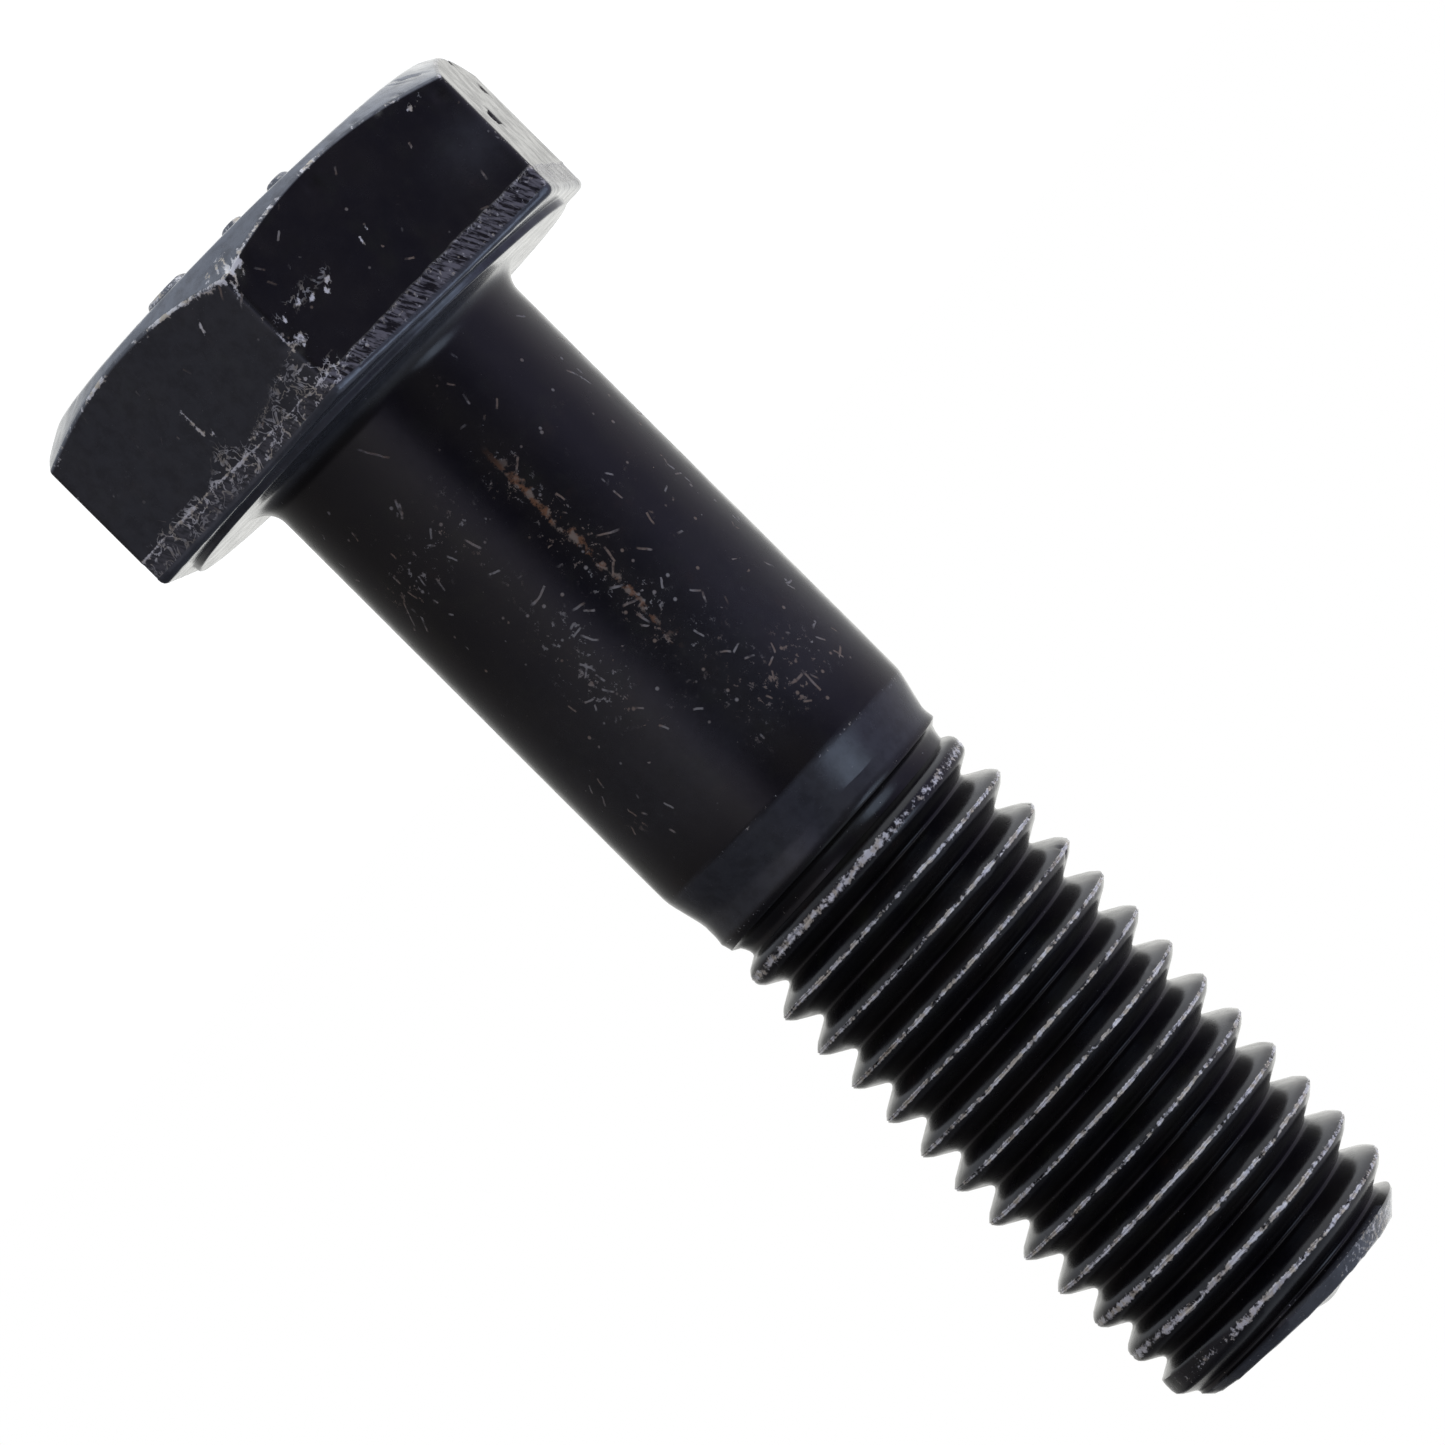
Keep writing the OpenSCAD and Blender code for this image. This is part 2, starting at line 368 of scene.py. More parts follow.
# dings round the rest of the rim
ding = ease(0.52, 0.75, noise(grid, (0.9, 0.9, 0.6), 41, 2)) * of_kind("edge", "chamfer", "top_edge")
push = push - 0.10 * ding
wear += 0.4 * ding
# the bearing side stays nearly flat for what it rests on, and the first row joins the flat top
push = np.where(of_kind("bearing", "washer_edge", "washer_root"), 0.25 * push, push)
push[0] = 0

grid = grid + normals * push[..., None]
marks = is_side * (0.06 + 0.16 * patchy).clip(0, 1)
head_ids = shell.add(
    grid, wear=wear.clip(0, 1), bare=bare.clip(0, 1), pit=pit.clip(0, 1), torn=torn.clip(0, 1),
    band=band, marks=marks, arc=U + FLAT * 15.13).reshape(R.shape)
next_ids = np.roll(head_ids, -1, 1)
shell.quads(head_ids[:-1], next_ids[:-1], next_ids[1:], head_ids[1:])

# ---------------------------------------------------------------- top of the head, with its raised bars
# rounded edge of a bar: how far each loop is in from its outline, and how high
BAR_LOOPS = ((-0.10, 0.0), (-0.02, 0.08), (0.06, 0.19), (0.18, 0.27), (0.34, BAR_H))
RING_GAP = 0.32
ROW_DIR, BAR_DIR = SIDE[:2], CAM[:2]


def stadium(place, width, inset, n=14):
    """Outline of a bar, moved in by inset."""
    half_w, half_l = width / 2 - inset, BAR_LEN / 2 - width / 2
    out = []
    for side in (1, -1):
        for a in np.linspace(0, math.pi, n):
            x, y = half_w * math.cos(a) * side, (half_l + half_w * math.sin(a)) * side
            out.append(ROW_DIR * (place + x) + BAR_DIR * (BAR_OUT + y))
    return out


def in_bar(x, y, grow):
    """True if the point is in a bar that is wider by grow all round."""
    for place, width in BARS:
        s = x * ROW_DIR[0] + y * ROW_DIR[1] - place
        t = x * BAR_DIR[0] + y * BAR_DIR[1] - BAR_OUT
        if math.hypot(s, max(abs(t) - (BAR_LEN - width) / 2, 0)) < width / 2 + grow:
            return True
    return False


points = [tuple(v) for v in grid[0][:, :2]]
heights = [0.0] * FINE
edges = [(i, (i + 1) % FINE) for i in range(FINE)]
for place, width in BARS:
    for inset, h in BAR_LOOPS:
        loop = stadium(place, width, inset)
        base = len(points)
        for n, (x, y) in enumerate(loop):
            points.append((float(x), float(y)))
            heights.append(h + (0.03 * noise(np.array([x, y, 0.0]), 0.6, 61) if h > 0.15 else 0.0))
            edges.append((base + n, base + (n + 1) % len(loop)))
# rings of points over the rest of the top, and on the flats of the bars
ring_radii = [r for r in (RING_GAP * n - 0.1 for n in range(1, 40)) if r <= TOP_R - 0.4]
for n, r in enumerate(ring_radii, 1):
    count = int(2 * math.pi * r / 0.42) + 1
    for m in range(count):
        a = 2 * math.pi * (m + 0.5 * (n % 2)) / count
        x, y = r * math.cos(a), r * math.sin(a)
        if not in_bar(x, y, 0.2) or in_bar(x, y, -0.4):
            points.append((x, y))
            heights.append(BAR_H if in_bar(x, y, -0.3) else 0.0)

top_points, _, top_faces, sources, _, _ = delaunay_2d_cdt([Vector(p) for p in points], edges, [], 0, 1e-6)
new_points, top_heights, new_ids = [], [], {}
for n, v in enumerate(top_points):
    source = sources[n][0]
    if source < FINE:
        new_ids[n] = int(head_ids[0][source])
        continue
    h = heights[source]
    p = np.array([v.x, v.y, TOP_Z])
    fade = ease(TOP_R - 0.25, TOP_R - 1.2, np.hypot(v.x, v.y))
    rough = (0.020 * noise(p, 2.6, 71, 2) + 0.012 * noise(p, 0.6, 72)) * fade
    new_ids[n] = shell.count + len(new_points)
    new_points.append((v.x, v.y, TOP_Z - h + (rough if h < BAR_H else 0.3 * rough)))
    top_heights.append(h)
new_points = np.array(new_points)
on_bar = np.array(top_heights) > 0.05
blotch = noise(new_points, 0.8, 73, 3)
shell.add(new_points,
          bare=(np.where(on_bar, 0.85, 0.45) + 0.3 * blotch).clip(0, 1),
          wear=np.where(on_bar, 0.50 + 0.35 * blotch, 0.08 * (blotch > 0.3)).clip(0, 1))
for face in top_faces:
    a, b, c = (top_points[i] for i in face[:3])
    faces_up = (b.x - a.x) * (c.y - a.y) - (b.y - a.y) * (c.x - a.x) > 0
    corners = [new_ids[i] for i in face]
    shell.faces.append(corners[::-1] if faces_up else corners)

# ---------------------------------------------------------------- fillet and shank
LAST_RING = 23.75
around = np.radians(np.arange(COARSE) * 360.0 / COARSE)
profile = [(9.6, 0.0)]
for a in np.radians(np.linspace(0, 90, 10)):
    profile.append((SHANK_R + FILLET * (1 - math.sin(a)), FILLET * (1 - math.cos(a))))
profile += [(SHANK_R, z) for z in np.linspace(FILLET + 0.8, LAST_RING, 26)]
shank_r = np.array([r for r, z in profile])[:, None] * np.ones(COARSE)
shank_z = np.array([z for r, z in profile])[:, None] * np.ones(COARSE)
shank = np.stack([shank_r * np.cos(around), shank_r * np.sin(around), shank_z], -1)
outward = np.stack([np.cos(around), np.sin(around), 0 * around], -1)
wobble = 0.012 * noise(shank, (6, 6, 9), 81, 2) + 0.004 * noise(shank, (0.8, 0.8, 2.5), 82)
shank = shank + outward * (wobble * ease(0.6, 1.6, shank_z))[..., None]

shank_deg = np.degrees(np.broadcast_to(around, shank_r.shape))
streak = bump(shank_deg, 284.5, 7.0) * ease(5.5, 8.0, shank_z) * (1 - ease(16.5, 19.0, shank_z))
shank_bare = 0.3 * (1 - ease(0.0, 0.7, shank_z)) + 0.055 * ease(10.0, 22.0, shank_z)

# where the shank carries more marks than elsewhere: how many, then middle and half size in degrees and in z
PATCHES = (
    (1.0, 262, 20, 25.0, 3.2),
    (0.9, 284, 8, 13.5, 6.5),
    (0.9, 325, 26, 7.6, 1.0),
    (0.8, 312, 9, 16.2, 3.6),
    (0.9, 332, 22, 26.2, 1.2),
    (0.8, 60, 25, 9.0, 3.0),
    (0.8, 140, 30, 19.0, 3.0),
    (0.7, 200, 15, 6.0, 4.0),
)
dense = 0.14
for amount, turn_at, turn_half, z_at, z_half in PATCHES:
    turned = np.mod(shank_deg - turn_at + 180, 360) - 180
    dense = dense + amount * (bump(turned, 0, turn_half) * bump(shank_z, z_at, z_half))
shank_marks = dense.clip(0, 1) * ease(1.2, 2.2, shank_z)
shank_ids = shell.add(shank, bare=shank_bare, rust=streak, marks=shank_marks).reshape(shank_r.shape)

# three columns of the head meet each column of the shank
h0, h1, h2 = head_ids[-1][0::3], head_ids[-1][1::3], head_ids[-1][2::3]
h3 = np.roll(h0, -1)
s0, s1 = shank_ids[0], np.roll(shank_ids[0], -1)
for triangle in ((h0, h1, s0), (h1, s1, s0), (h1, h2, s1), (h2, h3, s1)):
    shell.faces.extend(np.stack(triangle, -1).tolist())
next_ids = np.roll(shank_ids, -1, 1)
shell.quads(shank_ids[:-1], next_ids[:-1], next_ids[1:], shank_ids[1:])

# ---------------------------------------------------------------- taper and thread, in rows along the helix
# points 0 to 8 of the form go up the first flank to the seam of the crest, and 9 to 15 down the second
FORM = np.array([0.0, 0.05, 0.10, 0.19, 0.28, 0.375, 0.415, 0.455, 0.5,
                 0.545, 0.585, 0.625, 0.72, 0.81, 0.90, 0.95])
SEAM = 8
FORM_POINTS = len(FORM)
HELIX_Z = 32.43 - PITCH / 2 - PITCH * math.degrees(AZ) / 360 - 3 * PITCH
HELIX_END = TIP + 3.9
STEPS = int(math.ceil((HELIX_END - HELIX_Z) / PITCH * COARSE))
ROOT_ROUND = 0.166
SHOULDER_Z = 29.87
BURR_AT = SIDE * -1.15 + CAM * 4.2


def thread_points(step, k):
    """Points, wear and bare metal of the thread, with painted highlights in both: step counts steps round, k
    is the place in the form.
    """
    a = 2 * np.pi * step / COARSE
    z_start = HELIX_Z + PITCH * step / COARSE
    mid = z_start + PITCH / 2
    h = z_start + FORM[k] * PITCH
    lap = np.stack([CREST_R * np.cos(a), CREST_R * np.sin(a), mid * 3.0], -1)
    side_dir = np.cos(a - AZ)
    shoulder = SHOULDER_Z + 0.30 * side_dir

    # radii of the root and the crest here: the crest is lower near the tip
    root = START_R + (ROOT_R - START_R) * ease(shoulder - 0.35, shoulder + 2.0, h)
    crest = START_R + (CREST_R - START_R) * ease(shoulder - 0.3, shoulder + 1.95 * PITCH, mid)
    crest = crest - 0.13 * ease(TIP - 9.5, TIP - 4.5, mid) * (0.6 + 0.4 * side_dir)
    last_turns = 0.10 * ease(TIP - 9.0, TIP - 6.0, mid) + 0.25 * ease(TIP - 4.6, TIP - 2.8, mid)
    crest = crest - ease(0.0, 0.8, side_dir) * last_turns
    crest = crest + 0.018 * noise(lap, 1.6, 91, 2)
    full = ease(7.20, 7.60, crest)
    root_edge = np.minimum(root + ROOT_ROUND * (START_R - root) / (START_R - ROOT_R), crest)
    crest_w = PITCH / 4 + (PITCH_R - crest) * TAN_30
    root_w = np.maximum(PITCH / 4 + (PITCH_R - root_edge) * TAN_30, crest_w + 0.10)
    low, up = PITCH / 2 - root_w, PITCH / 2 - crest_w

    # the seam between the two lips that rolling leaves along the crest, and small nicks
    first = k <= SEAM
    lip_a = 0.022 * noise(lap, 0.35, 92, 2) + 0.02 * noise(lap, 1.1, 93)
    lip_b = 0.022 * noise(lap, 0.35, 94, 2) + 0.02 * noise(lap, 1.3, 95)
    lip = np.where(first, lip_a, lip_b) * full
    seam = (0.035 + 0.05 * ease(0.0, 0.8, noise(lap, 1.9, 96))) * full
    nicked = ease(0.50, 0.80, noise(lap, (0.55, 0.55, 1.5), 97, 2)) * full
    cut = 0.17 * nicked
    shift = 0.05 * noise(lap, 2.3, 98) * full

    # the form itself, the same on both flanks: level is 0 at the root and 8 at the seam
    level = np.where(first, k, FORM_POINTS - k)
    is_level = [level == n for n in range(SEAM)]
    flank = crest - root_edge
    z_form = np.select(is_level, [
        0 * low,
        low * 0.55,
        low,
        low + (up - low) * 0.36,
        low + (up - low) * 0.72,
        up - 0.02,
        up + 0.09,
        PITCH / 2 - crest_w * 0.30 + 0 * low,
    ], PITCH / 2 + 0 * low)
    r = np.select(is_level, [
        root,
        root + 0.30 * (root_edge - root),
        root_edge,
        root_edge + flank * 0.36,
        root_edge + flank * 0.72,
        crest - 0.15 * full + 0.3 * lip - 0.4 * cut,
        crest - 0.06 * full + lip - cut,
        crest + lip - cut,
    ], crest - seam - cut)
    z_form = np.where(first, z_form, PITCH - z_form)
    z = z_start + z_form + shift * ease(4.5, 6.5, level.astype(float))

    # the plain shank and its taper, up to the shoulder and its low lip
    down = z - TAPER_Z
    taper = np.where(down < 0, SHANK_R, SHANK_R - down * TAPER_SLOPE)
    soft = SHANK_R - TAPER_SLOPE * 0.5 * (down + np.sqrt(down**2 + 0.03))
    blank = np.maximum(np.minimum(taper + 0.02, soft), BLANK_R + 0.03)
    t = ease(shoulder - 0.10, shoulder + 0.32, z)
    r = blank * (1 - t) + r * t + 0.06 * bump(z, shoulder - 0.05, 0.22) * (1 - t * 0.5)

    # wear on the crests, in the nicks and at the roots
    on = ease(shoulder - 0.1, shoulder + 0.5, z)
    crest_line = np.select([level == SEAM, level == 7, level == 6], [0.80, 0.68, 0.22], 0.0)
    uneven = np.where(first, noise(lap, 0.45, 99, 2), noise(lap, 0.5, 101, 2))
    along_crest = 0.86 + 0.50 * noise(lap, 1.3, 106, 2) + 0.60 * uneven
    w = crest_line * along_crest * on * (0.15 + 0.85 * full) + 0.5 * nicked * (level >= 6)
    w = w + 0.16 * (level == 0) * on * (0.7 + 0.5 * noise(lap, 2.0, 100))
    b = 0.04 * (level >= 5) * on
    # painted highlights: bright lines at the shoulder and at the start of the taper, put into the wear mask,
    # and thin oxide between them
    w = np.maximum(w, 0.34 * bump(z, shoulder - 0.02, 0.12) * (0.8 + 0.6 * noise(lap, 1.2, 102)))
    w = np.maximum(w, 0.24 * bump(z, TAPER_Z + 0.07, 0.12) * (0.9 + 0.7 * noise(lap, 0.8, 107, 2)))
    b = np.maximum(b, 0.22 * ease(26.8, 27.0, z) * (1 - ease(shoulder - 0.4, shoulder, z)))

    # the point: a cone, then the flat end
    cone = POINT_R + (TIP - z)
    flat_end = z > TIP
    on_cone = (cone < r) & ~flat_end
    r = np.where(flat_end, POINT_R - (z - TIP), np.minimum(r, cone))
    z = np.where(flat_end, TIP, z)
    # painted highlight: on the side of the cone away from SIDE, which faces the lamp, wear and bare metal are
    # raised to make it lighter
    lit_side = ease(0.1, 0.8, -side_dir)
    w = np.where(flat_end, 0.10, np.where(on_cone, 0.12 + 0.32 * lit_side, w))
    b = np.where(flat_end, 0.40, np.where(on_cone, 0.30 + 0.45 * lit_side, b))
    p = np.stack([r * np.cos(a), r * np.sin(a), z], -1)
    grain = 0.004 * noise(p, 0.7, 103, 2)
    p[..., 0] += grain * np.cos(a)
    p[..., 1] += grain * np.sin(a)

    # sheared end of the wire: shallow ridges and one low burr
    inner = ease(POINT_R - 3.4, POINT_R - 2.4, r)
    shear = (0.035 * noise(p, (3.0, 1.0, 9.0), 104, 2) - 0.03) * flat_end * inner
    from_burr = np.hypot(p[..., 0] - BURR_AT[0], p[..., 1] - BURR_AT[1])
    p[..., 2] += shear + 0.36 * bump(from_burr, 0.0, 1.0) * flat_end * inner
    return p, w.clip(0, 1), b.clip(0, 1)


steps, places = np.meshgrid(np.arange(STEPS + 1), np.arange(FORM_POINTS), indexing="ij")
p, w, b = thread_points(steps, places)
thread_ids = shell.add(p, wear=w, bare=b).reshape(STEPS + 1, FORM_POINTS)
p, w, b = thread_points(np.arange(STEPS + 1, STEPS + COARSE + 1), np.zeros(COARSE, int))
last_ids = shell.add(p, wear=w, bare=b)
# the last point of each row is the root one turn up
root_ids = np.concatenate([thread_ids[:, 0], last_ids])
table = np.concatenate([thread_ids, root_ids[COARSE:COARSE + STEPS + 1, None]], 1)
shell.quads(table[:-1, :-1], table[1:, :-1], table[1:, 1:], table[:-1, 1:])
# the strip that joins the last ring of the shank to the first turn
ring_ids = shank_ids[-1]
j = np.arange(COARSE - 1)
shell.quads(ring_ids[j], ring_ids[j + 1], root_ids[j + 1], root_ids[j])
fan = [int(v) for v in (ring_ids[-1], ring_ids[0], *table[0])]
pivot = int(root_ids[COARSE - 1])
for a, b in zip(fan[1:-1], fan[2:]):
    shell.faces.append([pivot, a, b])
shell.faces.append([pivot, fan[0], fan[1]])
# the middle of the flat end
shell.faces.append([int(v) for v in (*root_ids[STEPS:STEPS + COARSE + 1], *thread_ids[STEPS, :0:-1])])

# ---------------------------------------------------------------- the mesh
mesh = bpy.data.meshes.new("hex_bolt")
mesh.from_pydata((np.concatenate(shell.parts) * MM).tolist(), [], shell.faces)
mesh.validate()
mesh.update()
for name, values in shell.masks.items():
    attribute = mesh.attributes.new(name, "FLOAT", "POINT")
    attribute.data.foreach_set("value", np.concatenate(values).astype(np.float32))
mesh.polygons.foreach_set("use_smooth", [True] * len(mesh.polygons))
mesh.set_sharp_from_angle(angle=math.radians(48))
bolt = bpy.data.objects.new("hex_bolt", mesh)
bpy.context.scene.collection.objects.link(bolt)


# ---------------------------------------------------------------- material
class Nodes:
    """Short names for making nodes and joining them."""

    def __init__(self, tree):
        self.tree = tree
        tree.nodes.clear()

    def node(self, kind, inputs=None, **props):
        n = self.tree.nodes.new(kind)
        for k, v in props.items():
            setattr(n, k, v)
        for k, v in (inputs or {}).items():
            self.put(v, n.inputs[k])
        return n

    def put(self, value, socket):
        if isinstance(value, bpy.types.NodeSocket):
            self.tree.links.new(value, socket)
        else:
            socket.default_value = value

    def math(self, op, a, b=0.0, c=0.0, clamp=False):
        return self.node("ShaderNodeMath", {0: a, 1: b, 2: c}, operation=op, use_clamp=clamp).outputs[0]

    def vector(self, op, a, b=(0.0, 0.0, 0.0)):
        return self.node("ShaderNodeVectorMath", {0: a, 1: b}, operation=op).outputs["Vector"]

    def scaled(self, a, factor):
        return self.node("ShaderNodeVectorMath", {0: a, 3: factor}, operation="SCALE").outputs["Vector"]

    def dot(self, a, b):
        return self.node("ShaderNodeVectorMath", {0: a, 1: b}, operation="DOT_PRODUCT").outputs["Value"]

    def length(self, a):
        return self.node("ShaderNodeVectorMath", {0: a}, operation="LENGTH").outputs["Value"]

    def range(self, value, lo, hi, out_lo=0.0, out_hi=1.0):
        inputs = {0: value, 1: lo, 2: hi, 3: out_lo, 4: out_hi}
        return self.node("ShaderNodeMapRange", inputs, interpolation_type="SMOOTHSTEP").outputs[0]

    def noise(self, vector, scale, detail=2.0, rough=0.5, warp=0.0):
        n = self.node("ShaderNodeTexNoise", {
            "Vector": vector, "Scale": scale, "Detail": detail, "Roughness": rough, "Distortion": warp})
        return n.outputs["Fac"]

    def cells(self, vector, scale):
        return self.node("ShaderNodeTexVoronoi", {"Vector": vector, "Scale": scale, "Randomness": 1.0})

    def mix(self, fac, a, b):
        n = self.node("ShaderNodeMix", data_type="RGBA")
        self.put(fac, n.inputs["Factor"])
        self.put(a, n.inputs[6])
        self.put(b, n.inputs[7])
        return n.outputs[2]

    def attribute(self, name):
        return self.node("ShaderNodeAttribute", attribute_name=name).outputs["Fac"]


def black_oxide(g, at, grain):
    """Cloudy black oxide: violet, brown and olive tints."""
    cloud = g.noise(at, 0.26, 4, 0.6)
    hue = g.noise(at, 0.55, 3, 0.55)
    base = g.mix(g.range(cloud, 0.35, 0.68), (0.0022, 0.0019, 0.0034, 1), (0.0076, 0.0062, 0.0060, 1))
    base = g.mix(g.range(hue, 0.52, 0.72), base, (0.0076, 0.0078, 0.0056, 1))
    return g.mix(g.range(grain, 0.50, 0.78, 0.0, 0.4), base, (0.014, 0.012, 0.012, 1))


def strokes(g, at, allowed, scale, shift, long, wide, few, patch_size):
    """Scratches: in each cell of a Voronoi pattern one short stroke in a direction of its own."""
    q = g.node("ShaderNodeMapping", {
        "Vector": at, "Location": shift, "Scale": (scale, scale, scale)}).outputs[0]
    bend = g.node("ShaderNodeTexNoise", {"Vector": q, "Scale": 1.3, "Detail": 2.0}).outputs["Color"]
    bent = g.vector("ADD", q, g.scaled(bend, 0.22))
    cell = g.cells(bent, 1.0)
    away = g.vector("SUBTRACT", bent, cell.outputs["Position"])
    # the direction, without its part towards the bolt's axis, so that the stroke lies in the surface
    turned = g.vector("SUBTRACT", cell.outputs["Color"], (0.5, 0.5, 0.5))
    radial = g.vector("MULTIPLY", at, (1.0, 1.0, 0.0))
    turned = g.vector("SUBTRACT", turned, g.vector("PROJECT", turned, radial))
    turned = g.vector("NORMALIZE", turned)
    off = g.math("ABSOLUTE", g.dot(away, turned))
    line = g.math("MULTIPLY", g.range(off, wide * 0.4, wide, 1.0, 0.0),
                  g.range(g.length(away), long * 0.7, long, 1.0, 0.0))
    split = g.node("ShaderNodeSeparateColor", {0: cell.outputs["Color"]})
    here = g.math("ADD", g.range(g.noise(at, patch_size, 2, 0.5), 0.25, 0.75, -0.25, 0.35), allowed)
    keep = g.math("GREATER_THAN", g.math("ADD", here, split.outputs[1]), few)
    broken = g.range(g.noise(at, 3.1, 2, 0.5), 0.32, 0.52, 0.25, 1.0)
    return g.math("MULTIPLY", g.math("MULTIPLY", line, keep), broken)


def specks(g, at, allowed):
    """Small light specks, one to a cell where there is one."""
    cell = g.cells(at, 1.45)
    speck = g.range(cell.outputs["Distance"], 0.08, 0.18, 1.0, 0.0)
    pick = g.node("ShaderNodeSeparateColor", {0: cell.outputs["Color"]}).outputs[0]
    here = g.math("ADD", g.range(g.noise(at, 0.5, 2, 0.5), 0.25, 0.75, -0.25, 0.30), allowed)
    return g.math("MULTIPLY", speck, g.math("GREATER_THAN", g.math("ADD", here, pick), 1.00))


def pecks(g, at, allowed):
    """Clusters of small irregular marks."""
    crumbs = g.range(g.noise(at, 2.6, 4, 0.75), 0.585, 0.65)
    where = g.range(g.math("MULTIPLY_ADD", g.noise(at, 0.45, 3, 0.6), 1.4, allowed), 0.90, 1.45)
    return g.math("MULTIPLY", crumbs, where)


def all_marks(g, at):
    """Scratches, specks and pecks, only where the mask of marks is above 0."""
    allowed = g.attribute("marks")
    marks = g.math("MAXIMUM", strokes(g, at, allowed, 0.62, (3.1, 1.7, 5.2), 0.34, 0.050, 1.17, 0.30),
                   strokes(g, at, allowed, 1.10, (8.3, 4.4, 0.6), 0.36, 0.075, 1.08, 0.45))
    marks = g.math("MAXIMUM", marks, strokes(g, at, allowed, 0.40, (1.3, 9.2, 7.7), 0.34, 0.030, 1.14, 0.25))
    marks = g.math("MAXIMUM", g.math("MAXIMUM", marks, specks(g, at, allowed)), pecks(g, at, allowed))
    return g.math("MULTIPLY", marks, g.range(allowed, 0.02, 0.10))


def rust_streak(g, at, height):
    """Brown bloom in a thin wandering line down the shank."""
    line_at = math.radians(284.3)
    from_line = g.dot(at, (-math.sin(line_at), math.cos(line_at), 0.0))
    ragged = g.noise(at, 1.6, 5, 0.7)
    wander = g.math("MULTIPLY_ADD", g.math("SUBTRACT", g.noise(at, 0.8, 2, 0.5), 0.5), 1.0, from_line)
    near = g.range(g.math("ABSOLUTE", wander), 0.02, 0.42, 1.0, 0.0)
    near = g.math("MULTIPLY", near, g.range(height, 8.0, 14.0, 1.0, 0.72))
    bloom = g.range(g.math("MULTIPLY_ADD", near, 0.30, ragged), 0.66, 0.80)
    return g.math("MULTIPLY", g.attribute("rust"), bloom)


def torn_lines(g, at, sparks):
    """Torn metal: thin winding lines and crumbs, with the sparks of the sheared band."""
    torn = g.attribute("torn")
    wind = g.math("ABSOLUTE", g.math("SUBTRACT", g.noise(at, 1.15, 3, 0.62, 0.6), 0.5))
    lines = g.math("MULTIPLY", torn, g.range(wind, 0.010, 0.036, 1.0, 0.0))
    crumbs = g.math("MULTIPLY", torn, g.range(g.noise(at, 2.3, 3, 0.6), 0.62, 0.70))
    return g.math("MAXIMUM", g.math("MAXIMUM", lines, crumbs), g.math("MULTIPLY", sparks, 0.8))


